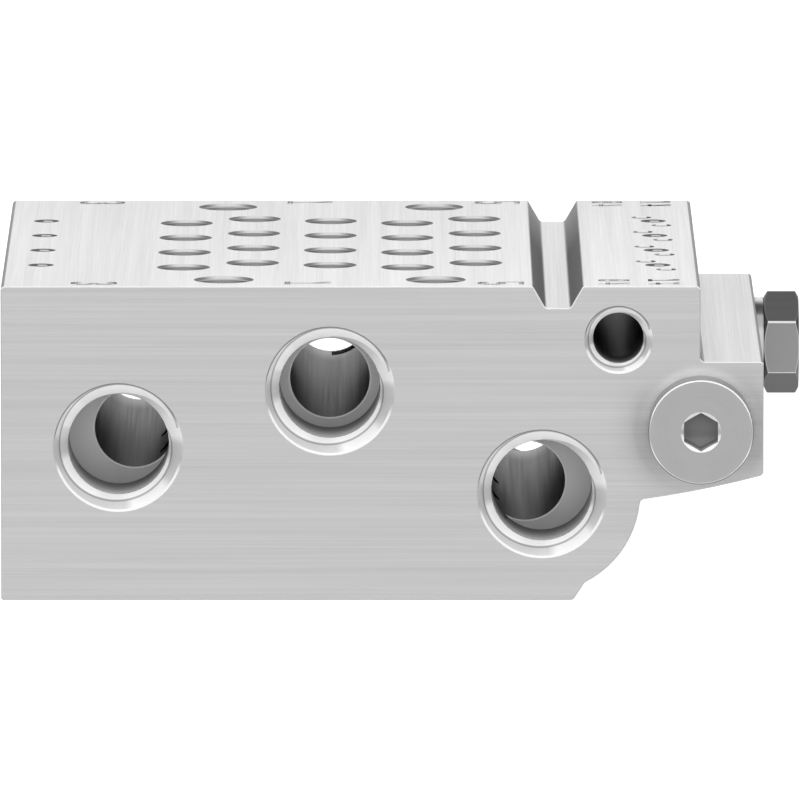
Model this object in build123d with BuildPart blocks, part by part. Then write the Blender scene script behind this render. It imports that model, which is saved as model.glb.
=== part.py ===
from build123d import *
import os

# Manifold rail for four small valves, with its blanking plugs. Millimetres.
# +X to the right of the front face, +Y towards the rear face, +Z up.
# The origin is the middle of the four mounting holes, on the base face.

# ---------------------------------------------------------------- rail section
rail_length = 61.5
left_x = -27.88
top_z = 26.83
right_x = 31.42  # right wall of the high part
step_z = 20.38  # top of the low shelf at the right
shelf_x = 36.78  # right wall of the shelf
shelf_low_z = 10.70  # lower right corner
undercut_mid = (33.03, 9.79)  # the underside of the shelf is slightly bowed
undercut_end = (26.32, 8.62)  # where it meets the round boss
boss_centre = (17.95, 9.12)  # round boss that wraps bore 5
boss_r = 8.40
boss_end = (21.62, 1.50)  # the boss runs out into a steep foot chamfer
foot_x = 20.63

groove_x = 19.34  # alignment groove in the top
groove_floor_z = 24.97
groove_half_floor = 1.055
groove_half_top = 2.130

corner_r = 0.34
shelf_corner_r = 0.28
shelf_low_r = 0.42
inner_r = 0.40
groove_floor_r = 0.45
groove_top_r = 0.25
notch_r = 0.45
face_chamfer = 0.08  # both sawn faces

half = rail_length / 2

# ---------------------------------------------------------------- main ports
port_x = {"3": -17.94, "1": 0.0, "5": 18.00}
port_z = {"3": 13.08, "1": 17.90, "5": 9.11}
bore_x = {"3": -16.64, "1": 0.0, "5": 16.65}
bore_z = {"3": 13.60, "1": 17.87, "5": 9.05}
g18_r = 4.283  # core of a G1/8 thread
g18_mouth_r = 5.405
g18_rim_r = 5.51  # the mouth's broken edge, on the face
mouth_angle = 48.4
g18_front_depth = 9.20
g18_rear_depth = 7.00
bore_r = 3.40
bore_edge = 0.12  # broken edge where a bore starts

# ---------------------------------------------------------------- pilot ports
pilot84_x, pilot84_z = 24.48, 22.27
m5_r = 2.15  # core of an M5 thread, and the bore between the two ports
m5_mouth_r = 2.80
m5_rim_r = 2.91

pilot14_x, pilot14_z = 31.43, 14.79
m7_r = 3.00  # core of an M7 thread
m7_mouth_r = 3.60

# ---------------------------------------------------------------- cross channel
cross_z = 15.47
cross_y = 21.90
cross_r = 1.60
cross_end_x = 0.08
cross_thread_depth = 2.60  # M5 core, through the wall of the shelf

# ---------------------------------------------------------------- stations
pitch = 10.5
station_y = [(-1.5 + i) * pitch for i in range(4)]
flow_r = 2.05
flow_edge_r = 2.27
col3_x, col1_x, col5_x = 0.0, -12.50, 12.45
col2_x, col4_x = -6.62, 6.62
stagger = 1.55  # neighbouring columns are shifted along the rail
col1_end_z = 9.90
col5_end_z = 5.40
col3_end_z = 17.93
work_core_r = 3.00  # core of an M7 thread, under columns 2 and 4
work_mouth_r = 3.60
work_depth = 8.0

screw_left_x, screw_right_x = -24.69, 27.99
m2_r = 0.80  # core of an M2 thread
m2_mouth_r = 1.10
m2_depth = 5.50
pilot_a_x, pilot_a_dy = 26.99, 2.55  # down to bore 84
pilot_c_x, pilot_c_dy = 28.66, -3.10  # down to bore 14
pilot_hole_r = 0.72
pilot_hole_mouth_r = 0.87

# ---------------------------------------------------------------- mounting
mount_x, mount_y = 9.0, 26.0
mount_r = 2.25
mount_edge_r = 2.55

# ---------------------------------------------------------------- engraving
engrave = 0.15
big_h, big_w, big_pen = 3.95, 2.10, 0.46
small_h, small_w, small_pen = 2.70, 1.50, 0.38

# ---------------------------------------------------------------- plugs
plug_head_r = 4.47
plug_head_t = 1.70
plug_seal_r = 4.45
plug_seal_t = 1.60
plug_shank_r = 3.00
plug_shank_l = 6.0
plug_socket_af = 2.88
plug_socket_depth = 2.90
plug_socket_mouth_r = 1.72

hex_af = 7.80
hex_t = 3.05
hex_edge_r = 0.25  # rounded long edges
hex_seal_r = 3.97
hex_seal_t = 0.90
hex_shank_r = 2.10
hex_shank_l = 2.35


def near(shapes, x, y, tol=0.02):
    """The corners of the sketch that lie at x, y."""
    return shapes.filter_by(lambda v: abs(v.X - x) < tol and abs(v.Y - y) < tol)


def pen(points, width):
    """A straight or bent stroke with round ends, in the current sketch."""
    for a, b in zip(points[:-1], points[1:]):
        mid = ((a[0] + b[0]) / 2, (a[1] + b[1]) / 2)
        run = Vector(b[0] - a[0], b[1] - a[1])
        turn = Vector(1, 0).get_signed_angle(run)
        with Locations(Location((mid[0], mid[1], 0), (0, 0, turn))):
            SlotCenterToCenter(run.length, width)


def figure(digit, u, v, height, width, stroke):
    """One engraved figure, centred at u, v of the current sketch."""
    h, w = height - stroke, width - stroke
    left, right, low, high = u - w / 2, u + w / 2, v - h / 2, v + h / 2
    if digit == "1":
        pen([(u, low), (u, high)], stroke)
        pen([(u, high), (left, high - 0.42 * h)], stroke)
        pen([(left, low), (right, low)], stroke)
    elif digit == "4":
        pen([(u + 0.22 * w, low), (u + 0.22 * w, high)], stroke)
        pen([(u + 0.22 * w, high), (left, low + 0.27 * h)], stroke)
        pen([(left, low + 0.27 * h), (right, low + 0.27 * h)], stroke)
    elif digit == "5":
        pen([(right, high), (left + 0.1 * w, high)], stroke)
        pen([(left + 0.1 * w, high), (left, v + 0.08 * h)], stroke)
        bowl(u, v - 0.22 * h, left, right, 0.28 * h, 140, -150, stroke)
    elif digit == "3":
        bowl(u, v + 0.25 * h, left, right, 0.25 * h, 150, -80, stroke)
        bowl(u, v - 0.25 * h, left, right, 0.25 * h, 80, -150, stroke)
    elif digit == "8":
        bowl(u, v + 0.26 * h, left + 0.04 * w, right - 0.04 * w, 0.24 * h, 180, -180, stroke)
        bowl(u, v - 0.24 * h, left, right, 0.26 * h, 180, -180, stroke)


def bowl(u, v, left, right, ry, start, end, stroke):
    """The round part of a figure: short strokes along an ellipse."""
    rx = (right - left) / 2
    steps = 14
    pts = []
    for i in range(steps + 1):
        t = start + (end - start) * i / steps
        p = Vector(rx, 0).rotate(Axis.Z, t)
        pts.append((u + p.X, v + p.Y * ry / rx))
    pen(pts, stroke)


# ================================================================ the rail
with BuildPart() as manifold_block:
    # section, swept straight along the rail
    with BuildSketch(Plane.XZ.offset(-half)) as section:
        with BuildLine():
            Polyline(
                (boss_end[0], boss_end[1]),
                (foot_x, 0),
                (left_x, 0),
                (left_x, top_z),
                (groove_x - groove_half_top, top_z),
                (groove_x - groove_half_floor, groove_floor_z),
                (groove_x + groove_half_floor, groove_floor_z),
                (groove_x + groove_half_top, top_z),
                (right_x, top_z),
                (right_x, step_z),
                (shelf_x, step_z),
                (shelf_x, shelf_low_z),
            )
            ThreePointArc((shelf_x, shelf_low_z), undercut_mid, undercut_end)
            # the boss is round about bore 5
            ThreePointArc(
                undercut_end,
                (
                    boss_centre[0] + boss_r * 0.7986,
                    boss_centre[1] - boss_r * 0.6018,
                ),
                boss_end,
            )
        make_face()
        for x, z in ((left_x, top_z), (right_x, top_z)):
            fillet(near(section.vertices(), x, z), corner_r)
        fillet(near(section.vertices(), left_x, 0), 0.25)
        fillet(near(section.vertices(), foot_x, 0), 0.45)
        fillet(near(section.vertices(), boss_end[0], boss_end[1]), 0.35)
        fillet(near(section.vertices(), undercut_end[0], undercut_end[1]), notch_r)
        fillet(near(section.vertices(), right_x, step_z), inner_r)
        for z, r in ((step_z, shelf_corner_r), (shelf_low_z, shelf_low_r)):
            fillet(near(section.vertices(), shelf_x, z), r)
        for side in (-1, 1):
            fillet(
                near(section.vertices(), groove_x + side * groove_half_floor, groove_floor_z),
                groove_floor_r,
            )
            fillet(
                near(section.vertices(), groove_x + side * groove_half_top, top_z),
                groove_top_r,
            )
    extrude(amount=rail_length)
    # broken edges around the two sawn faces
    chamfer(manifold_block.faces().sort_by(Axis.Y)[0].edges(), face_chamfer)
    chamfer(manifold_block.faces().sort_by(Axis.Y)[-1].edges(), face_chamfer)

    # main bores 1, 3 and 5, from shoulder to shoulder, with broken edges
    for name in ("3", "1", "5"):
        x, z = bore_x[name], bore_z[name]
        middle_y = (g18_front_depth - g18_rear_depth) / 2
        with Locations(Location((x, middle_y, z), (90, 0, 0))):
            Cylinder(bore_r, rail_length - g18_front_depth - g18_rear_depth, mode=Mode.SUBTRACT)
        for y, turn in ((-half + g18_front_depth, 90), (half - g18_rear_depth, -90)):
            with Locations(Location((x, y, z), (turn, 0, 0))):
                Cone(
                    bore_r,
                    bore_r + bore_edge,
                    bore_edge,
                    align=(Align.CENTER, Align.CENTER, Align.MAX),
                    mode=Mode.SUBTRACT,
                )
    # threaded mouths of ports 1, 3 and 5 at both ends: a long cone, then a broken rim
    for end, depth in ((-1, g18_front_depth), (1, g18_rear_depth)):
        mouths = [Plane(origin=(port_x[n], end * half, port_z[n]), z_dir=(0, end, 0)) for n in port_x]
        with Locations(*mouths):
            CounterSinkHole(g18_r, g18_mouth_r, depth, mouth_angle)
            CounterSinkHole(g18_r, g18_rim_r, depth - 1, 90)
    # pilot bore 84, the same size all through, with the same kind of mouth
    with Locations(
        Plane(origin=(pilot84_x, -half, pilot84_z), z_dir=(0, -1, 0)),
        Plane(origin=(pilot84_x, half, pilot84_z), z_dir=(0, 1, 0)),
    ):
        CounterSinkHole(m5_r, m5_mouth_r, half + 0.5, mouth_angle)
        CounterSinkHole(m5_r, m5_rim_r, 5, 90)
    # pilot bore 14, the same size all through
    with Locations(
        Plane(origin=(pilot14_x, -half, pilot14_z), z_dir=(0, -1, 0)),
        Plane(origin=(pilot14_x, half, pilot14_z), z_dir=(0, 1, 0)),
    ):
        CounterSinkHole(m7_r, m7_mouth_r, half + 0.5, 90)

    # cross channel, from the shelf's right wall over bore 5 into bore 1
    with Locations(Location(((cross_end_x + shelf_x) / 2, cross_y, cross_z), (0, 90, 0))):
        Cylinder(cross_r, shelf_x - cross_end_x, mode=Mode.SUBTRACT)
    with Locations(Plane(origin=(shelf_x, cross_y, cross_z), z_dir=(1, 0, 0))):
        CounterSinkHole(hex_shank_r, hex_shank_r + 0.3, cross_thread_depth, 90)

    # valve stations: five flow holes each
    deck = [Plane(origin=(col3_x, y, top_z), z_dir=(0, 0, 1)) for y in station_y]
    with Locations(*deck):
        CounterSinkHole(flow_r, flow_edge_r, top_z - col3_end_z, 90)
    deck = [Plane(origin=(col1_x, y - stagger, top_z), z_dir=(0, 0, 1)) for y in station_y]
    with Locations(*deck):
        CounterSinkHole(flow_r, flow_edge_r, top_z - col1_end_z, 90)
    deck = [Plane(origin=(col5_x, y + stagger, top_z), z_dir=(0, 0, 1)) for y in station_y]
    with Locations(*deck):
        CounterSinkHole(flow_r, flow_edge_r, top_z - col5_end_z, 90)
    # columns 2 and 4 run down to the tapped work ports in the base
    for x, dy in ((col2_x, stagger), (col4_x, -stagger)):
        deck = [Plane(origin=(x, y + dy, top_z), z_dir=(0, 0, 1)) for y in station_y]
        with Locations(*deck):
            CounterSinkHole(flow_r, flow_edge_r, top_z - work_depth + 0.5, 90)
        base = [Plane(origin=(x, y + dy, 0), z_dir=(0, 0, -1)) for y in station_y]
        with Locations(*base):
            CounterSinkHole(work_core_r, work_mouth_r, work_depth, 90)
    # valve screw holes and pilot holes
    for x in (screw_left_x, screw_right_x):
        deck = [Plane(origin=(x, y, top_z), z_dir=(0, 0, 1)) for y in station_y]
        with Locations(*deck):
            CounterSinkHole(m2_r, m2_mouth_r, m2_depth, 90)
    for x, dy, low in (
        (pilot_a_x, pilot_a_dy, pilot84_z),
        (pilot_c_x, pilot_c_dy, pilot14_z),
    ):
        deck = [Plane(origin=(x, y + dy, top_z), z_dir=(0, 0, 1)) for y in station_y]
        with Locations(*deck):
            CounterSinkHole(pilot_hole_r, pilot_hole_mouth_r, top_z - low, 90)

    # mounting holes, right through
    with Locations(Plane.XY.offset(top_z)):
        with GridLocations(2 * mount_x, 2 * mount_y, 2, 2):
            CounterSinkHole(mount_r, mount_edge_r, top_z + 1, 90)
    with Locations(Plane(origin=(0, 0, 0), z_dir=(0, 0, -1))):
        with GridLocations(2 * mount_x, 2 * mount_y, 2, 2):
            CounterSinkHole(mount_r, mount_edge_r, 2, 90)

    # engraved port numbers, at the front and rear edges, their tops towards +X
    with BuildSketch(Plane(origin=(0, 0, top_z), x_dir=(0, -1, 0), z_dir=(0, 0, 1))):
        for single_y, eight_y, four_y in (
            (-half + 2.35, -half + 4.30, -half + 2.00),
            (half - 1.50, half - 1.25, half - 3.55),
        ):
            figure("3", -single_y, -20.00, big_h, big_w, big_pen)
            figure("1", -single_y, -1.85, big_h, big_w, big_pen)
            figure("5", -single_y, 14.50, big_h, big_w, big_pen)
            figure("8", -eight_y, 24.12, small_h, small_w, small_pen)
            figure("4", -four_y, 24.12, small_h, small_w, small_pen)
            figure("1", -eight_y, 28.36, small_h, small_w, small_pen)
            figure("4", -four_y, 28.36, small_h, small_w, small_pen)
    extrude(amount=-engrave, mode=Mode.SUBTRACT)

manifold_block.part.label = "manifold_block"


# ================================================================ pilot plugs
def pilot_plug(end):
    """Flat-headed plug with a hex socket, in the front (-1) or rear (+1) mouth of bore 14."""
    face = Plane(origin=(pilot14_x, end * half, pilot14_z), x_dir=(1, 0, 0), z_dir=(0, end, 0))
    head_back = face.offset(plug_seal_t)
    with BuildPart() as plug:
        with BuildSketch(head_back):
            Circle(plug_head_r)
        extrude(amount=plug_head_t)
        chamfer(plug.edges().filter_by(GeomType.CIRCLE).group_by(Axis.Y)[0 if end < 0 else -1], 0.15)
        with BuildSketch(head_back):
            Circle(plug_shank_r)
        extrude(amount=-(plug_seal_t + plug_shank_l))
        chamfer(plug.edges().filter_by(GeomType.CIRCLE).group_by(Axis.Y)[-1 if end < 0 else 0], 0.4)
        with BuildSketch(head_back.offset(plug_head_t)):
            RegularPolygon(plug_socket_af / 2, 6, major_radius=False, rotation=30)
        extrude(amount=-plug_socket_depth, mode=Mode.SUBTRACT)
        with Locations(head_back.offset(plug_head_t)):
            Cone(
                0.9,
                plug_socket_mouth_r,
                plug_socket_mouth_r - 0.9,
                align=(Align.CENTER, Align.CENTER, Align.MAX),
                mode=Mode.SUBTRACT,
            )
    return plug


def pilot_seal(end):
    """Sealing ring between a pilot plug's head and the block."""
    face = Plane(origin=(pilot14_x, end * half, pilot14_z), x_dir=(1, 0, 0), z_dir=(0, end, 0))
    with BuildPart() as ring:
        with BuildSketch(face):
            Circle(plug_seal_r)
            Circle(plug_shank_r, mode=Mode.SUBTRACT)
        extrude(amount=plug_seal_t)
    return ring


front_pilot_plug = pilot_plug(-1)
front_pilot_plug.part.label = "front_pilot_plug"
rear_pilot_plug = pilot_plug(1)
rear_pilot_plug.part.label = "rear_pilot_plug"
front_pilot_seal = pilot_seal(-1)
front_pilot_seal.part.label = "front_pilot_seal"
rear_pilot_seal = pilot_seal(1)
rear_pilot_seal.part.label = "rear_pilot_seal"

# ================================================================ cross plug
wall = Plane(origin=(shelf_x, cross_y, cross_z), x_dir=(0, 1, 0), z_dir=(1, 0, 0))
hex_r = hex_af / 2 / 0.8660254

with BuildPart() as cross_plug:
    # hexagon with a corner up, its two ends rounded off by 30 degree cones
    with BuildSketch(wall.offset(hex_seal_t)):
        RegularPolygon(hex_af / 2, 6, major_radius=False, rotation=30)
    extrude(amount=hex_t)
    fillet(cross_plug.edges().filter_by(Axis.X), hex_edge_r)
    with BuildSketch(Plane.XY.offset(cross_z)) as turned:
        with BuildLine():
            Polyline(
                (shelf_x + hex_seal_t, cross_y),
                (shelf_x + hex_seal_t, cross_y + hex_af / 2 - 0.05),
                (shelf_x + hex_seal_t + 0.40, cross_y + hex_r + 0.06),
                (shelf_x + hex_seal_t + hex_t - 0.34, cross_y + hex_r + 0.06),
                (shelf_x + hex_seal_t + hex_t, cross_y + hex_af / 2 + 0.06),
                (shelf_x + hex_seal_t + hex_t, cross_y),
                close=True,
            )
        make_face()
    revolve(axis=Axis((shelf_x, cross_y, cross_z), (1, 0, 0)), mode=Mode.INTERSECT)
    with BuildSketch(wall.offset(hex_seal_t)):
        Circle(hex_shank_r)
    extrude(amount=-(hex_seal_t + hex_shank_l))
cross_plug.part.label = "cross_plug"

with BuildPart() as cross_plug_seal:
    with BuildSketch(wall):
        Circle(hex_seal_r)
        Circle(hex_shank_r, mode=Mode.SUBTRACT)
    extrude(amount=hex_seal_t)
    fillet(
        cross_plug_seal.edges().filter_by(GeomType.CIRCLE).filter_by(lambda e: e.radius > 3),
        0.18,
    )
cross_plug_seal.part.label = "cross_plug_seal"

# ================================================================ write the pieces
os.makedirs("parts", exist_ok=True)
export_step(manifold_block.part, "parts/manifold_block.step")
export_step(front_pilot_plug.part, "parts/front_pilot_plug.step")
export_step(front_pilot_seal.part, "parts/front_pilot_seal.step")
export_step(rear_pilot_plug.part, "parts/rear_pilot_plug.step")
export_step(rear_pilot_seal.part, "parts/rear_pilot_seal.step")
export_step(cross_plug.part, "parts/cross_plug.step")
export_step(cross_plug_seal.part, "parts/cross_plug_seal.step")
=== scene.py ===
import math

import bpy
import bmesh
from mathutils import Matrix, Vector

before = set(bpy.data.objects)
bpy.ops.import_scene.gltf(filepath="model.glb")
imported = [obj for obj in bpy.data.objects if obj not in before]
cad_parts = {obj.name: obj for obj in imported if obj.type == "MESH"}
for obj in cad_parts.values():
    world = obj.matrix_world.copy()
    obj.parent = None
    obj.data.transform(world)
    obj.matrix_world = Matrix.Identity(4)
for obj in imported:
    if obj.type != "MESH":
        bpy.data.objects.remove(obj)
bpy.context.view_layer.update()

MM = 0.001
scene = bpy.context.scene

# ------------------------------------------------------------------ sizes that repeat the CAD's, in mm
HALF = 30.75
TOP_Z = 26.83
PORTS = {"3": (-17.94, 13.08), "1": (0.0, 17.90), "5": (18.00, 9.11)}
BORES = {"3": (-16.64, 13.60), "1": (0.0, 17.87), "5": (16.65, 9.05)}
G18_R, BORE_R = 4.283, 3.40
FRONT_DEPTH, REAR_DEPTH = 9.20, 7.00
PILOT84 = (24.48, 22.27)
PILOT84_R = 2.15
G18_RUN_R, PILOT84_RUN_R = 5.46, 2.85  # where the thread's run-in starts
GROOVE_X, GROOVE_FLOOR_Z = 19.34, 24.97
PILOT14 = (31.43, 14.79)
PLUG_SEAL_R, PLUG_FACE = 4.45, 3.30  # how far the head stands out of the sawn face
SHELF_X, CROSS_Y, CROSS_Z = 36.78, 21.90, 15.47
HEX_FLAT, HEX_FROM, HEX_TO = 3.90, 0.90, 3.95
STATION, SCREW_RIGHT, PILOT_A, PILOT_C = 10.5, 27.99, (26.99, 2.55), (28.66, -3.10)


# ------------------------------------------------------------------ how light each part of the block is, painted light and shade included
# the top's fall in tone from TOP_FRONT to TOP_REAR is painted light
FRONT, SIDES, TOP_FRONT, TOP_REAR = 0.475, 0.78, 0.90, 0.81
GRAIN_FINE, GRAIN_WIDE, GRAIN_TOP = 0.16, 0.10, 2.5
# painted shade on the groove's flanks, paler towards the rear: tone against the place from front to rear
FLANK = ((0.0, 0.12), (0.55, 0.12), (0.70, 0.18), (1.0, 0.30))
# painted shade on the walls and broken edges of the holes in the top, darker where they face sideways
HOLE_WALL, HOLE_EDGE = 0.50, 0.66
# painted highlight on the sawn faces' broken edges that look up, and their tone where they look sideways
EDGE_UP, EDGE_SIDE = 0.76, 0.42
# painted light in the ports: the shoulder behind the thread and the bore's broken edge made pale
SHOULDER, BORE_EDGE = 0.60, 0.97
BOSS, BOSS_R = (17.95, 9.12), 8.40
# painted shade in the bores: darker from the front inwards and where the wall faces sideways, painted light near their
# rear end
BORE_NEAR, BORE_FAR, BORE_END, BORE_SIDE, BORE_ROUGH = 0.14, 0.10, 3.6, 0.95, 0.38
POLISH_NEAR, POLISH_FAR, POLISH_END, POLISH_84 = 0.37, 0.03, 0.60, 0.12
# painted shade in the pilot bore, darker where its wall faces sideways
PILOT_TONE, PILOT_SIDE = 0.15, 0.60
# the run-in of the thread: part of the way from core to rim, against the turn from its start
SPIRAL = ((0.0, 0.86), (0.03, 0.91), (0.115, 0.97), (0.185, 0.95), (0.325, 0.76), (0.445, 0.60), (0.535, 0.55), (0.695, 0.39), (0.865, 0.31), (0.945, 0.21), (1.0, 0.0))
# where the turn's end lies inside its start: part of the way to the rim, from 20 to 95 degrees
CRESCENT = ((0.0, 0.76), (0.133, 0.69), (0.333, 0.57), (0.533, 0.437), (0.667, 0.287), (0.8, 0.177), (0.9, 0.12), (1.0, 0.0))
# turned mouths shine in wedges, painted into their tone as highlights, and as shade where the amount is below 0:
# direction, half width and softness in degrees, amount
SHINE = {
    "ground": 0.59,
    "outer": (
        (18.0, 12.0, 5.0, 0.32), (302.0, 21.0, 6.0, 0.28), (275.0, 10.0, 8.0, 0.04),
        (152.0, 18.0, 6.0, 0.16), (188.0, 14.0, 8.0, -0.10), (345.0, 12.0, 6.0, -0.05),
    ),
    "inner": (
        (20.0, 17.0, 6.0, 0.31), (98.0, 60.0, 6.0, 0.24), (147.0, 16.0, 6.0, 0.10),
        (163.0, 10.0, 6.0, 0.16), (268.0, 76.0, 6.0, 0.37), (262.0, 14.0, 8.0, -0.10),
    ),
    # the broken rim's tone: a painted dark line of shade at the top, a painted highlight at the bottom
    "edge_top": 0.20, "edge_low": 0.80,
}
# painted shade on the thread walls: tone against depth, darker further in
THREAD_WALL = ((0.0, 0.62), (0.6, 0.38), (1.0, 0.22))
PILOT_WALL = ((0.0, 0.26), (0.11, 0.245), (0.26, 0.195), (0.41, 0.17), (0.7, 0.127), (0.83, 0.11), (1.0, 0.12))
# around the plug the sawn face is paler above, with painted light, and greyer beside it, with painted contact shade: by
# distance from its seal (0 to 1.4 and 0 to 3.5 mm) and by direction (0 straight up, 1 straight down); shade is in
# 1/1.25
HALO = ((0.0, 0.75), (0.16, 0.70), (0.28, 0.63), (0.40, 0.42), (0.52, 0.24), (0.64, 0.09), (0.76, 0.02), (1.0, 0.0))
HALO_TURN = ((0.0, 1.0), (0.13, 0.82), (0.21, 0.50), (0.29, 0.30), (0.38, 0.25), (0.46, 0.08), (0.60, 0.02), (1.0, 0.0))
SHADE = ((0.0, 1.0), (0.28, 1.0), (0.35, 0.85), (0.45, 0.55), (0.55, 0.38), (0.64, 0.26), (0.84, 0.10), (1.0, 0.0))
SHADE_TURN = ((0.0, 0.92), (0.17, 0.904), (0.25, 0.832), (0.33, 0.72), (0.42, 0.64), (0.50, 0.61), (0.67, 0.615), (0.75, 0.66), (0.83, 0.715), (1.0, 0.74))


# ------------------------------------------------------------------ node helper
class Graph:
    """Short names for the maths of a shader tree. Numbers and sockets both go in."""

    def __init__(self, material):
        material.use_nodes = True
        self.tree = material.node_tree
        self.tree.nodes.clear()
        self.out = self.new("ShaderNodeOutputMaterial")
        self.bsdf = self.new("ShaderNodeBsdfPrincipled")
        self.tree.links.new(self.bsdf.outputs["BSDF"], self.out.inputs["Surface"])

    def new(self, kind, **settings):
        n = self.tree.nodes.new(kind)
        for k, v in settings.items():
            setattr(n, k, v)
        return n

    def put(self, socket, value):
        if isinstance(value, bpy.types.NodeSocket):
            self.tree.links.new(value, socket)
        else:
            socket.default_value = value

    def math(self, op, a, b=0.0, c=None, clamp=False):
        n = self.new("ShaderNodeMath", operation=op, use_clamp=clamp)
        self.put(n.inputs[0], a)
        self.put(n.inputs[1], b)
        if c is not None:
            self.put(n.inputs[2], c)
        return n.outputs[0]

    def add(self, a, b):
        return self.math("ADD", a, b)

    def sub(self, a, b):
        return self.math("SUBTRACT", a, b)

    def mul(self, a, b):
        return self.math("MULTIPLY", a, b)

    def step(self, value, low, high, a=0.0, b=1.0):
        """a below low, b above high, smooth between."""
        n = self.new("ShaderNodeMapRange", interpolation_type="SMOOTHSTEP", clamp=True)
        self.put(n.inputs["Value"], value)
        n.inputs["From Min"].default_value = low
        n.inputs["From Max"].default_value = high
        self.put(n.inputs["To Min"], a)
        self.put(n.inputs["To Max"], b)
        return n.outputs["Result"]

    def line(self, value, low, high, a=0.0, b=1.0):
        n = self.new("ShaderNodeMapRange", interpolation_type="LINEAR", clamp=True)
        self.put(n.inputs["Value"], value)
        n.inputs["From Min"].default_value = low
        n.inputs["From Max"].default_value = high
        n.inputs["To Min"].default_value = a
        n.inputs["To Max"].default_value = b
        return n.outputs["Result"]

    def mix(self, t, a, b):
        """a where t is 0, b where t is 1."""
        n = self.new("ShaderNodeMix", data_type="FLOAT", clamp_factor=True)
        self.put(n.inputs[0], t)
        self.put(n.inputs[2], a)
        self.put(n.inputs[3], b)
        return n.outputs[0]

    def vec(self, x, y, z):
        n = self.new("ShaderNodeCombineXYZ")
        for s, v in zip(n.inputs, (x, y, z)):
            self.put(s, v)
        return n.outputs[0]

    def noise(self, vector, scale=1.0, detail=2.0, roughness=0.5, distortion=0.0):
        n = self.new("ShaderNodeTexNoise")
        self.put(n.inputs["Vector"], vector)
        n.inputs["Scale"].default_value = scale
        n.inputs["Detail"].default_value = detail
        n.inputs["Roughness"].default_value = roughness
        n.inputs["Distortion"].default_value = distortion
        return n.outputs["Fac"]

    def place(self):
        """x, y, z of the point in mm, in the object's own frame."""
        tex = self.new("ShaderNodeTexCoord")
        sep = self.new("ShaderNodeSeparateXYZ")
        self.put(sep.inputs[0], tex.outputs["Object"])
        return [self.mul(s, 1000.0) for s in sep.outputs]

    def normal(self, which="True Normal"):
        """The flat normal of each small face, or with "Normal" the smooth one."""
        geo = self.new("ShaderNodeNewGeometry")
        sep = self.new("ShaderNodeSeparateXYZ")
        self.put(sep.inputs[0], geo.outputs[which])
        return list(sep.outputs)

    def abs(self, a):
        return self.math("ABSOLUTE", a)

    def over(self, a, limit):
        """1 where a is over the limit."""
        return self.math("GREATER_THAN", a, limit)

    def under(self, a, limit):
        return self.math("LESS_THAN", a, limit)

    def all(self, *masks):
        out = masks[0]
        for m in masks[1:]:
            out = self.mul(out, m)
        return out

    def any(self, *masks):
        out = masks[0]
        for m in masks[1:]:
            out = self.math("MAXIMUM", out, m)
        return out

    def invert(self, a):
        return self.sub(1.0, a)

    def between(self, a, low, high):
        return self.mul(self.over(a, low), self.under(a, high))

    def curve(self, value, points):
        """A smooth curve through a few points, both axes from 0 to 1."""
        n = self.new("ShaderNodeFloatCurve")
        c = n.mapping.curves[0]
        while len(c.points) < len(points):
            c.points.new(0.5, 0.5)
        for p, (a, b) in zip(c.points, points):
            p.location = (a, b)
            p.handle_type = "AUTO_CLAMPED"
        n.mapping.update()
        self.put(n.inputs["Value"], value)
        return n.outputs["Value"]

    def lobe(self, angle, middle, half, soft):
        """1 within half a width of a direction, all in degrees, with soft edges."""
        d = self.abs(self.sub(self.math("FRACT", self.add(self.math("DIVIDE", self.sub(angle, middle), 360.0), 1.5)), 0.5))
        return self.step(self.mul(d, 360.0), half + soft, half - soft)

    def radius(self, x, z, cx, cz):
        return self.math("SQRT", self.add(
            self.math("POWER", self.sub(x, cx), 2.0), self.math("POWER", self.sub(z, cz), 2.0)))

    def grey(self, value, tint=(1.0, 1.0, 1.0)):
        n = self.new("ShaderNodeCombineColor")
        for i, t in enumerate(tint):
            self.put(n.inputs[i], value if t == 1.0 else self.mul(value, t))
        return n.outputs[0]

    def bump(self, height, strength, distance):
        n = self.new("ShaderNodeBump")
        n.inputs["Strength"].default_value = strength
        n.inputs["Distance"].default_value = distance
        self.put(n.inputs["Height"], height)
        return n.outputs[0]


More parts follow.
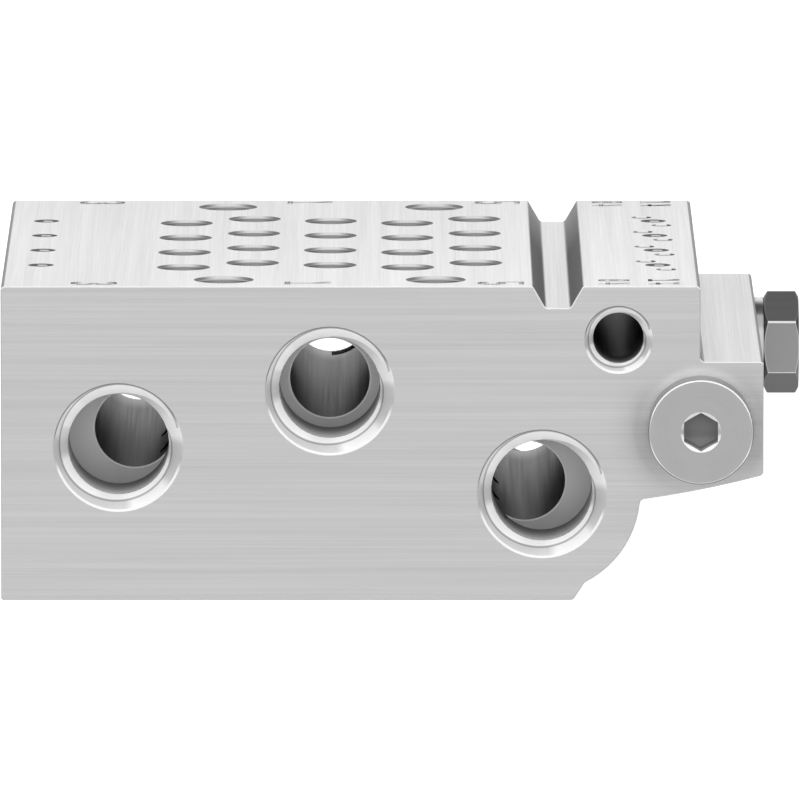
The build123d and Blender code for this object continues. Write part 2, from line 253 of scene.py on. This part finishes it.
def aluminium():
    """Machined and brushed aluminium: the grain runs across the sawn faces and along the rail.

    Turned mouths are paler with painted highlights, bores and deep holes darker with painted shade than the brushed
    outside.
    """
    m = bpy.data.materials.new("brushed_aluminium")
    g = Graph(m)
    x, y, z = g.place()
    nx, ny, nz = g.normal()
    ax, ay = g.abs(nx), g.abs(ny)
    soft_x = g.abs(g.normal("Normal")[0])
    depth = g.sub(HALF, g.abs(y))

    # grain of the sawn faces, along X, and of everything else, along Y
    saw_fine = g.noise(g.vec(g.mul(x, 0.035), g.mul(y, 0.2), g.mul(z, 6.0)), 1.0, 4.0, 0.62)
    saw_wide = g.noise(g.vec(g.mul(x, 0.012), g.mul(y, 0.2), g.mul(z, 1.3)), 1.0, 2.0, 0.5)
    rail_fine = g.noise(g.vec(g.mul(x, 6.0), g.mul(y, 0.035), g.mul(z, 6.0)), 1.0, 4.0, 0.62)
    rail_wide = g.noise(g.vec(g.mul(x, 1.1), g.mul(y, 0.012), g.mul(z, 1.1)), 1.0, 2.0, 0.5)
    face = g.step(ay, 0.75, 0.95)
    fine = g.mix(face, rail_fine, saw_fine)
    wide = g.mix(face, rail_wide, saw_wide)
    flat_up = g.over(nz, 0.9)
    top = g.mul(flat_up, g.over(z, TOP_Z - 0.05))
    sawn = g.mul(g.over(ay, 0.95), g.under(depth, 0.05))

    # the port that is nearest: its axis, its core and its rim
    right = g.over(x, 9.0)
    middle = g.over(x, -9.0)
    is84 = g.mul(g.over(x, 20.0), g.over(z, 18.5))
    cx = g.mix(is84, g.mix(right, g.mix(middle, PORTS["3"][0], PORTS["1"][0]), PORTS["5"][0]), PILOT84[0])
    cz = g.mix(is84, g.mix(right, g.mix(middle, PORTS["3"][1], PORTS["1"][1]), PORTS["5"][1]), PILOT84[1])
    core = g.mix(is84, G18_R, PILOT84_R)
    rim = g.mix(is84, G18_RUN_R, PILOT84_RUN_R)
    front = g.math("SIGN", g.mul(y, -1.0))
    u = g.mul(g.sub(x, cx), front)
    v = g.sub(z, cz)
    r = g.radius(x, z, cx, cz)
    angle = g.math("DEGREES", g.math("ARCTAN2", v, u))
    across = g.math("DIVIDE", g.sub(r, core), g.sub(rim, core))
    cone = g.all(g.over(across, 0.012), g.under(across, 1.12), g.between(ay, 0.2, 0.93), g.under(depth, 2.75))

    # the thread's run-in, a spiral line from the rim down to the core, painted darker as a line of shade
    turn = g.math("FRACT", g.add(g.math("DIVIDE", g.sub(angle, 18.0), 360.0), 1.0))
    spiral = g.curve(turn, SPIRAL)
    from_line = g.mul(g.sub(across, spiral), g.sub(rim, core))
    line = g.step(g.abs(from_line), 0.10, 0.03)
    outer = g.step(from_line, -0.03, 0.03)
    shine_out = g.add(SHINE["ground"], 0.0)
    for middle_angle, half, soft, amount in SHINE["outer"]:
        shine_out = g.add(shine_out, g.mul(g.lobe(angle, middle_angle, half, soft), amount))
    shine_in = g.add(SHINE["ground"], 0.0)
    for middle_angle, half, soft, amount in SHINE["inner"]:
        shine_in = g.add(shine_in, g.mul(g.lobe(angle, middle_angle, half, soft), amount))
    mouth = g.mix(outer, shine_in, shine_out)
    # the turn's end lies as a grey crescent of painted shade inside its start
    crescent = g.all(
        g.step(g.sub(g.curve(g.line(angle, 20.0, 95.0), CRESCENT), across), 0.0, 0.05),
        g.between(angle, 15.0, 95.0))
    mouth = g.mul(mouth, g.mix(crescent, 1.0, g.line(angle, 20.0, 60.0, 1.0, 0.64)))
    turned = g.noise(g.vec(g.mul(r, 10.0), g.mul(angle, 0.01), g.mul(depth, 3.0)), 1.0, 3.0, 0.6)
    mouth = g.add(mouth, g.mul(g.sub(turned, 0.5), 0.06))
    mouth = g.mul(mouth, g.sub(1.0, g.mul(line, 0.50)))
    # the broken rim: a painted highlight where it looks up, a thin painted dark line of shade where it looks down
    edge = g.over(ay, 0.55)
    mouth = g.mul(mouth, g.sub(1.0, g.mul(edge, 0.14)))
    low = g.lobe(angle, 270.0, 76.0, 10.0)
    dark = g.all(g.step(depth, 0.13, 0.08), g.lobe(angle, 98.0, 74.0, 8.0))
    mouth = g.mix(g.all(edge, g.any(low, dark)), mouth, g.mix(low, SHINE["edge_top"], SHINE["edge_low"]))

    # walls behind the mouths, down to the shoulder: painted shade on the walls, darker further in, and painted light on
    # the shoulder, palest to its left and right
    last = g.mix(is84, g.mix(g.over(y, 0.0), FRONT_DEPTH, REAR_DEPTH), 6.0)
    thread = g.all(g.under(ay, 0.2), g.under(g.abs(g.sub(r, core)), 0.05), g.under(depth, g.add(last, 0.03)))
    ring = g.noise(g.vec(g.mul(depth, 9.0), g.mul(angle, 0.012), 0.0), 1.0, 3.0, 0.65)
    wall_g18 = g.curve(g.line(depth, 2.4, 9.2), THREAD_WALL)
    wall_84 = g.curve(g.line(depth, 1.4, 6.0), PILOT_WALL)
    thread_base = g.mul(g.mix(is84, wall_g18, wall_84), g.add(1.0, g.mul(g.sub(ring, 0.5), 0.80)))
    shoulder = g.all(g.over(ay, 0.93), g.between(depth, 5.0, 9.5), g.under(r, core))
    shoulder_base = g.add(SHOULDER, g.mul(g.mul(g.abs(g.math("COSINE", g.math("RADIANS", angle))), SHOULDER), 0.22))

    # the main bores, the pilot bore and what crosses them; inside them painted shade, and the deep hollows painted near
    # black
    bx = g.mix(right, g.mix(middle, BORES["3"][0], BORES["1"][0]), BORES["5"][0])
    bz = g.mix(right, g.mix(middle, BORES["3"][1], BORES["1"][1]), BORES["5"][1])
    rb = g.radius(x, z, bx, bz)
    bore_edge = g.all(g.between(ay, 0.4, 0.93), g.between(depth, 6.5, 9.6), g.under(rb, BORE_R + 0.22))
    bore = g.all(g.under(ay, 0.2), g.under(g.abs(g.sub(rb, BORE_R)), 0.04), g.over(depth, 6.9))
    pilot = g.all(g.under(ay, 0.2), g.under(g.abs(g.sub(r, core)), 0.04), is84, g.over(depth, 5.9))
    sideways = g.math("POWER", ax, 2.0)
    streak = g.noise(g.vec(g.mul(x, 5.0), g.mul(y, 0.03), g.mul(z, 5.0)), 1.0, 3.0, 0.6)
    streak = g.add(1.0, g.mul(g.sub(streak, 0.5), 0.5))
    bore_tone = g.line(y, -22.0, 10.0, BORE_NEAR, BORE_FAR)
    bore_tone = g.mul(bore_tone, g.step(y, 16.0, 23.75, 1.0, BORE_END))
    bore_base = g.mul(g.mul(bore_tone, g.sub(1.0, g.mul(sideways, BORE_SIDE))), streak)
    pilot_base = g.mul(g.mul(PILOT_TONE, g.sub(1.0, g.mul(sideways, PILOT_SIDE))), streak)
    deep = g.all(
        g.any(g.between(z, 9.5, 24.0), g.all(g.between(z, 4.6, 9.6), g.over(g.abs(x), 9.9))),
        g.over(depth, 2.0), g.between(x, -26.0, 31.2),
        g.any(g.under(x, 18.0), g.over(z, 9.95), g.under(g.radius(x, z, *BOSS), BOSS_R - 0.2)))

    # holes in the top, its groove and its edges
    hole_x = g.all(g.between(x, -27.3, 30.9), g.over(g.abs(g.sub(x, GROOVE_X)), 2.4), g.over(depth, 0.25))
    hole_wall = g.all(g.under(g.abs(nz), 0.3), g.over(z, 24.45), hole_x)
    hole_edge = g.all(g.between(nz, 0.5, 0.9), g.over(z, 24.45), hole_x)
    small = g.any(g.under(x, -22.0), g.over(x, 25.5))
    below = g.sub(TOP_Z, z)
    # valve screw holes: painted shade all round a short painted glint; pilot holes: painted shade at their two ends
    # only, darker deeper down
    along = g.mul(g.sub(g.math("FRACT", g.math("DIVIDE", y, STATION)), 0.5), STATION)
    screw_x = g.sub(x, g.mix(g.over(x, 0.0), -24.69, SCREW_RIGHT))
    glint = g.all(g.step(below, 0.07, 0.10), g.step(below, 0.19, 0.16), g.step(g.abs(g.sub(screw_x, 0.12)), 0.50, 0.30))
    screw_base = g.mix(glint, 0.13, 0.62)
    pilot_x = g.sub(x, g.mix(g.over(along, 0.0), PILOT_C[0], PILOT_A[0]))
    ends = g.any(g.step(pilot_x, 0.40, 0.56), g.mul(g.step(pilot_x, -0.34, -0.62), 0.75))
    pilot_small = g.mul(g.mix(ends, 0.80, 0.10), g.step(below, 0.08, 0.11, 1.0, 0.70))
    small_base = g.mix(g.all(g.over(g.abs(along), 1.4), g.over(x, 0.0)), screw_base, pilot_small)
    in_groove = g.all(g.under(g.abs(g.sub(x, GROOVE_X)), 2.45), g.over(z, GROOVE_FLOOR_Z - 0.05), g.over(depth, 0.085))
    high = g.over(z, (GROOVE_FLOOR_Z + TOP_Z) / 2)
    # painted shade on the groove's flanks, where they face sideways
    flank = g.mul(in_groove, g.mix(high, g.step(soft_x, 0.22, 0.70), g.step(soft_x, 0.06, 0.80)))
    channel = g.all(g.under(g.radius(y, z, CROSS_Y, CROSS_Z), 1.62), g.between(x, 0.05, 36.0))
    flank_base = g.curve(g.line(y, -HALF, HALF), FLANK)
    # the rounded top edges, painted in shade where they turn sideways
    round_edge = g.all(g.between(nz, 0.02, 0.995), g.over(depth, 0.085), g.invert(in_groove), g.over(z, 18.0))
    # the broken edges of the sawn faces: a painted highlight where they look up, else like the face
    broken = g.all(g.between(ay, 0.55, 0.85), g.under(depth, 0.085))
    broken_base = g.mix(g.over(nz, 0.2), EDGE_SIDE, EDGE_UP)

    base = g.mix(sawn, SIDES, FRONT)
    # painted light on the top: paler at the front than at the rear, with painted shade at its front left
    top_base = g.mul(g.line(y, -HALF, HALF, TOP_FRONT, TOP_REAR), g.add(1.0, g.mul(g.step(x, -8.0, -20.0), g.line(y, -HALF, 0.0, -0.055, -0.01))))
    base = g.mix(top, base, top_base)
    # painted shade: the step's top darker towards the rear
    base = g.mul(base, g.add(1.0, g.mul(g.all(flat_up, g.over(x, 31.4)), g.line(y, -HALF, HALF, 0.0, -0.045))))
    grain = g.add(g.mul(g.sub(fine, 0.5), GRAIN_FINE), g.mul(g.sub(wide, 0.5), GRAIN_WIDE))
    base = g.add(base, g.mul(grain, g.mix(flat_up, 1.0, GRAIN_TOP)))
    away = g.sub(g.radius(x, z, *PILOT14), PLUG_SEAL_R)
    bearing = g.math("DEGREES", g.math("ARCTAN2", g.sub(z, PILOT14[1]), g.mul(g.sub(x, PILOT14[0]), front)))
    bearing = g.abs(g.sub(g.math("FRACT", g.add(g.math("DIVIDE", g.sub(bearing, 95.0), 360.0), 1.5)), 0.5))
    bearing = g.mul(bearing, 2.0)
    # painted light above the plug and painted contact shade beside it, on the sawn face only
    halo = g.mul(g.curve(g.line(away, 0.0, 1.4), HALO), g.curve(bearing, HALO_TURN))
    shade = g.sub(g.mul(g.curve(bearing, SHADE_TURN), 1.25), 1.0)
    shade = g.mul(shade, g.curve(g.line(away, 0.0, 3.5), SHADE))
    base = g.mul(base, g.add(1.0, g.all(g.add(halo, shade), sawn)))
    # painted shade on the rounded top edges where they turn sideways
    edge_shade = g.mul(g.step(soft_x, 0.0, 0.25), g.add(0.62, g.mul(soft_x, 0.28)))
    base = g.mul(base, g.sub(1.0, g.mul(round_edge, edge_shade)))
    # painted shade: the deep hollows, away from the sawn faces, near black
    base = g.mix(deep, base, g.mix(sawn, 0.03, base))
    base = g.mix(flank, base, flank_base)
    base = g.mix(broken, base, broken_base)
    # painted shade on the walls and broken edges of the holes in the top
    wall_base = g.mul(HOLE_WALL, g.sub(1.0, g.mul(g.step(soft_x, 0.2, 0.95), 0.55)))
    base = g.mix(hole_wall, base, wall_base)
    edge_base = g.mul(HOLE_EDGE, g.sub(1.0, g.mul(g.step(soft_x, 0.15, 0.60), 0.70)))
    base = g.mix(hole_edge, base, g.mix(g.step(below, 0.18, 0.22), edge_base, wall_base))
    base = g.mix(g.mul(g.any(hole_edge, hole_wall), small), base, small_base)
    # painted shade in the thread walls, bores and pilot bore, near black in the cross channel; painted light on the
    # shoulder, the bore's broken edge and the mouths
    base = g.mix(thread, base, thread_base)
    base = g.mix(bore, base, bore_base)
    base = g.mix(pilot, base, pilot_base)
    base = g.mix(channel, base, 0.02)
    base = g.mix(shoulder, base, shoulder_base)
    base = g.mix(bore_edge, base, BORE_EDGE)
    base = g.mix(cone, base, mouth)
    base = g.math("MINIMUM", g.math("MAXIMUM", base, 0.0), 0.97)
    matt = g.any(cone, thread, shoulder, bore_edge, flank, broken, hole_wall, hole_edge, g.mul(deep, g.invert(sawn)), channel)
    reamed = g.mul(g.any(bore, pilot), g.invert(channel))

    g.put(g.bsdf.inputs["Base Color"], g.grey(base))
    polish = g.add(g.line(y, -22.0, 10.0, POLISH_NEAR, POLISH_FAR), g.step(y, 15.0, 23.75, 0.0, POLISH_END))
    polish = g.mul(polish, g.sub(1.0, g.mul(sideways, 0.8)))
    polish = g.mul(g.mix(is84, polish, POLISH_84), streak)
    g.put(g.bsdf.inputs["Metallic"], g.mix(reamed, g.mul(g.invert(matt), 0.85), polish))
    g.bsdf.inputs["Specular IOR Level"].default_value = 0.15
    rough = g.add(0.42, g.mul(g.sub(fine, 0.5), 0.16))
    reamed_rough = g.add(g.add(BORE_ROUGH, g.mul(sideways, 0.05)), g.mul(g.sub(streak, 1.0), 0.45))
    g.put(g.bsdf.inputs["Roughness"], g.mix(reamed, g.mix(matt, rough, 0.55), reamed_rough))
    g.put(g.bsdf.inputs["Normal"], g.bump(fine, 0.25, 0.00003))
    return m


def steel_graph(name):
    m = bpy.data.materials.new(name)
    g = Graph(m)
    g.bsdf.inputs["Specular IOR Level"].default_value = 0.2
    return m, g


# the pilot plug's rim and the cone of its socket: painted highlight and shade as tone, and width, from the bottom to
# the top
RIM_TONE = ((0.0, 0.64), (0.25, 0.82), (0.5, 0.48), (0.62, 0.64), (0.75, 0.84), (1.0, 0.82))
RIM_WIDE = ((0.0, 0.05), (0.15, 0.15), (0.3, 0.75), (0.5, 0.35), (0.62, 0.6), (0.75, 0.85), (1.0, 0.95))
SOCKET_FLOOR = ((0.0, 0.62), (0.148, 0.55), (0.215, 0.44), (0.344, 0.366), (0.481, 0.37), (0.567, 0.365), (0.689, 0.345), (0.848, 0.28), (1.0, 0.20))
SOCKET_RING = ((0.0, 0.86), (0.3, 0.86), (0.42, 0.70), (0.5, 0.42), (0.6, 0.54), (0.75, 0.72), (1.0, 0.68))


def pilot_plug_steel(base_tone, rough):
    """Satin turned head with painted highlights on its broken rim and on the cone around a hexagon socket in painted
    shade.
    """
    m, g = steel_graph("turned_steel_pilot")
    x, y, z = g.place()
    nx, ny, nz = g.normal()
    ay = g.abs(ny)
    r = g.radius(x, z, *PILOT14)
    height = g.sub(z, PILOT14[1])
    out = g.sub(g.abs(y), HALF)
    rings = g.noise(g.vec(g.mul(r, 9.0), g.mul(y, 5.0), 0.0), 1.0, 3.0, 0.6)
    cloud = g.noise(g.vec(x, y, z), 0.45, 3.0, 0.55)
    slope = g.between(ay, 0.4, 0.95)
    front = g.over(out, PLUG_FACE - 0.5)
    rim = g.all(slope, front, g.over(r, 4.0))
    # painted highlight on the rim's inner part, most of all above, and painted shade on its outer part
    tall = g.line(height, -4.45, 4.45)
    bright = g.curve(tall, RIM_TONE)
    wide = g.add(4.36, g.mul(g.curve(tall, RIM_WIDE), 0.08))
    rim_base = g.mix(g.over(r, wide), bright, 0.18)
    mouth = g.all(slope, g.under(r, 1.8), front)
    inside = g.all(g.under(r, 1.8), g.under(out, PLUG_FACE - 0.01), g.invert(mouth))
    floor = g.all(inside, g.over(ay, 0.9))
    inside_base = g.mix(floor, g.step(nz, 0.1, 0.4, 0.34, 0.46), g.curve(g.line(height, -1.3, 1.4), SOCKET_FLOOR))
    side = g.all(g.under(ay, 0.2), g.over(r, 4.0))

    base = g.add(base_tone, g.mul(g.sub(rings, 0.5), 0.06))
    base = g.add(base, g.mul(g.sub(cloud, 0.5), 0.03))
    base = g.mix(side, base, 0.42)
    # painted highlight and shade on the rim, on the cone of the socket and inside it
    base = g.mix(rim, base, rim_base)
    base = g.mix(mouth, base, g.curve(g.line(height, -1.72, 1.72), SOCKET_RING))
    base = g.mix(inside, base, inside_base)
    matt = g.any(rim, mouth, inside)
    g.put(g.bsdf.inputs["Base Color"], g.grey(base))
    g.put(g.bsdf.inputs["Metallic"], g.invert(matt))
    g.put(g.bsdf.inputs["Roughness"], g.mix(matt, g.add(rough, g.mul(g.sub(rings, 0.5), 0.12)), 0.55))
    g.put(g.bsdf.inputs["Normal"], g.bump(rings, 0.2, 0.00002))
    return m


def hexagon_steel(rough):
    """Drawn hexagon steel: each flat is painted in light and shade by the way it faces, and the long edges and the
    cone's arcs carry painted highlights.
    """
    m, g = steel_graph("hexagon_steel")
    x, y, z = g.place()
    nx, ny, nz = g.normal()
    up = g.abs(nz)
    r = g.radius(y, z, CROSS_Y, CROSS_Z)
    drawn = g.noise(g.vec(g.mul(x, 0.15), g.mul(y, 5.0), g.mul(z, 5.0)), 1.0, 3.0, 0.6)
    inner = g.sub(g.sub(x, SHELF_X + HEX_FROM), g.math("DIVIDE", g.sub(r, HEX_FLAT - 0.05), 1.783))
    outer = g.sub(g.sub(SHELF_X + HEX_TO, x), g.math("DIVIDE", g.sub(r, HEX_FLAT + 0.06), 1.77))
    from_arc = g.math("MINIMUM", inner, outer)
    side = g.under(g.abs(nx), 0.2)
    arc = g.all(side, g.step(from_arc, 0.10, 0.06))
    long_edge = g.all(side, g.between(up, 0.06, 0.80))
    # painted light and shade by facing: the side flats palest, the upper ones darker, the lower ones darkest
    flat = g.mix(g.over(nz, 0.4), g.mix(g.under(nz, -0.4), 0.262, 0.075), 0.208)
    base = g.add(flat, g.mul(g.sub(drawn, 0.5), 0.02))
    # the end face's tone, painted highlights on the arcs and the long edges, painted shade on the end cones
    base = g.mix(g.over(nx, 0.9), base, 0.36)
    base = g.mix(arc, base, g.mul(base, 1.5))
    base = g.mix(g.between(g.abs(nx), 0.2, 0.9), base, 0.10)
    bright = g.mix(g.over(nz, 0.0), g.mix(g.between(up, 0.22, 0.60), base, 0.64), 0.66)
    base = g.mix(long_edge, base, bright)
    g.put(g.bsdf.inputs["Base Color"], g.grey(base))
    g.put(g.bsdf.inputs["Metallic"], g.invert(long_edge))
    g.put(g.bsdf.inputs["Roughness"], g.add(rough, g.mul(g.sub(drawn, 0.5), 0.12)))
    g.put(g.bsdf.inputs["Normal"], g.bump(drawn, 0.15, 0.00002))
    return m


# the polished rings: painted reflection bands as tone against the height on the round, from the bottom to the top
CROSS_RING = (
    (0.0, 0.30), (0.45, 0.52), (0.61, 0.64), (0.66, 0.45), (0.725, 0.39), (0.77, 0.09), (0.82, 0.06),
    (0.86, 0.20), (0.91, 0.64), (1.0, 0.90),
)
PILOT_RING = ((0.0, 0.40), (0.5, 0.40), (0.62, 0.32), (0.68, 0.26), (0.75, 0.25), (0.833, 0.25), (0.917, 0.27), (1.0, 0.28))


def painted_reflection_ring(name, axis, centre, tones):
    """Turned and polished sealing ring about an axis (0 along X, 1 along Y), its reflection bands painted into the
    colour.
    """
    m, g = steel_graph(name)
    x, y, z = g.place()
    across = y if axis == 0 else x
    swing = g.math("DEGREES", g.math("ARCTAN2", g.sub(z, centre[1]), g.abs(g.sub(across, centre[0]))))
    along = x if axis == 0 else y
    turned = g.noise(g.vec(g.mul(along, 14.0), g.mul(swing, 0.01), 0.0), 1.0, 3.0, 0.6)
    base = g.mul(g.curve(g.line(swing, -90.0, 90.0), tones), g.add(1.0, g.mul(g.sub(turned, 0.5), 0.15)))
    g.put(g.bsdf.inputs["Base Color"], g.grey(g.math("MINIMUM", base, 0.97)))
    g.bsdf.inputs["Metallic"].default_value = 0.0
    g.put(g.bsdf.inputs["Roughness"], g.add(0.42, g.mul(g.sub(turned, 0.5), 0.15)))
    g.put(g.bsdf.inputs["Normal"], g.bump(turned, 0.15, 0.00002))
    return m


finish = {
    "manifold_block": aluminium(),
    "front_pilot_plug": pilot_plug_steel(0.355, 0.38),
    "cross_plug": hexagon_steel(0.35),
    "front_pilot_seal": painted_reflection_ring("ring_pilot", 1, PILOT14, PILOT_RING),
    "cross_plug_seal": painted_reflection_ring("ring_cross", 0, (CROSS_Y, CROSS_Z), CROSS_RING),
}
finish["rear_pilot_plug"] = finish["front_pilot_plug"]
finish["rear_pilot_seal"] = finish["front_pilot_seal"]
for node, material in finish.items():
    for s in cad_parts[node].material_slots:
        s.material = material


# ------------------------------------------------------------------ floor, light, camera
# world and floor glow as strengths, the softboxes in watts
POWER = {"world": 0.30, "floor": 0.80, "top": 10.8, "back": 3.6, "front": 9.6}


def flat_white(name, value, rough, glow):
    m = bpy.data.materials.new(name)
    g = Graph(m)
    x, y, z = g.place()
    n = g.noise(g.vec(x, y, z), 0.004, 2.0, 0.5)
    g.put(g.bsdf.inputs["Base Color"], g.grey(g.add(value, g.mul(g.sub(n, 0.5), 0.004))))
    g.bsdf.inputs["Roughness"].default_value = rough
    g.bsdf.inputs["Specular IOR Level"].default_value = 0.1
    g.bsdf.inputs["Emission Color"].default_value = (1.0, 1.0, 1.0, 1.0)
    g.bsdf.inputs["Emission Strength"].default_value = glow
    return m


bm = bmesh.new()
bmesh.ops.create_grid(bm, x_segments=8, y_segments=8, size=3.0)
me = bpy.data.meshes.new("floor")
bm.to_mesh(me)
bm.free()
floor = bpy.data.objects.new("floor", me)
scene.collection.objects.link(floor)
floor.location.z = -0.00003  # clear of the base face, so that the two never flicker
me.materials.append(flat_white("floor_white", 0.46, 0.9, POWER["floor"]))


def area(name, at, aim, size, power):
    light = bpy.data.lights.new(name, "AREA")
    light.shape = "RECTANGLE"
    light.size, light.size_y = size
    light.energy = power
    o = bpy.data.objects.new(name, light)
    o.location = at
    o.rotation_euler = (Vector(aim) - Vector(at)).to_track_quat("-Z", "Y").to_euler()
    scene.collection.objects.link(o)
    return o


area("top_softbox", (0.0, -0.47, 1.0), (0.0, -0.47, 0.0), (1.0, 0.88), POWER["top"])
area("back_softbox", (0.0, 1.5, 0.45), (0.0, 0.0, 0.02), (1.6, 0.8), POWER["back"])
area("front_softbox", (0.0, -2.3, 0.75), (0.0, 0.0, 0.02), (2.4, 1.3), POWER["front"])

world = bpy.data.worlds.new("studio")
world.use_nodes = True
world.node_tree.nodes["Background"].inputs["Color"].default_value = (1.0, 1.0, 1.0, 1.0)
world.node_tree.nodes["Background"].inputs["Strength"].default_value = POWER["world"]
scene.world = world
scene.view_settings.view_transform = "Standard"
scene.view_settings.look = "None"

cam_data = bpy.data.cameras.new("camera")
cam_data.lens = 960.0
cam_data.sensor_width = 36.0
cam_data.clip_start = 0.05
cam_data.clip_end = 20.0
cam = bpy.data.objects.new("camera", cam_data)
cam.location = (4.30 * MM, -1824.0 * MM, 247.8 * MM)
cam.rotation_euler = (math.radians(82.6704), 0.0, math.radians(-0.053))
scene.collection.objects.link(cam)
scene.camera = cam
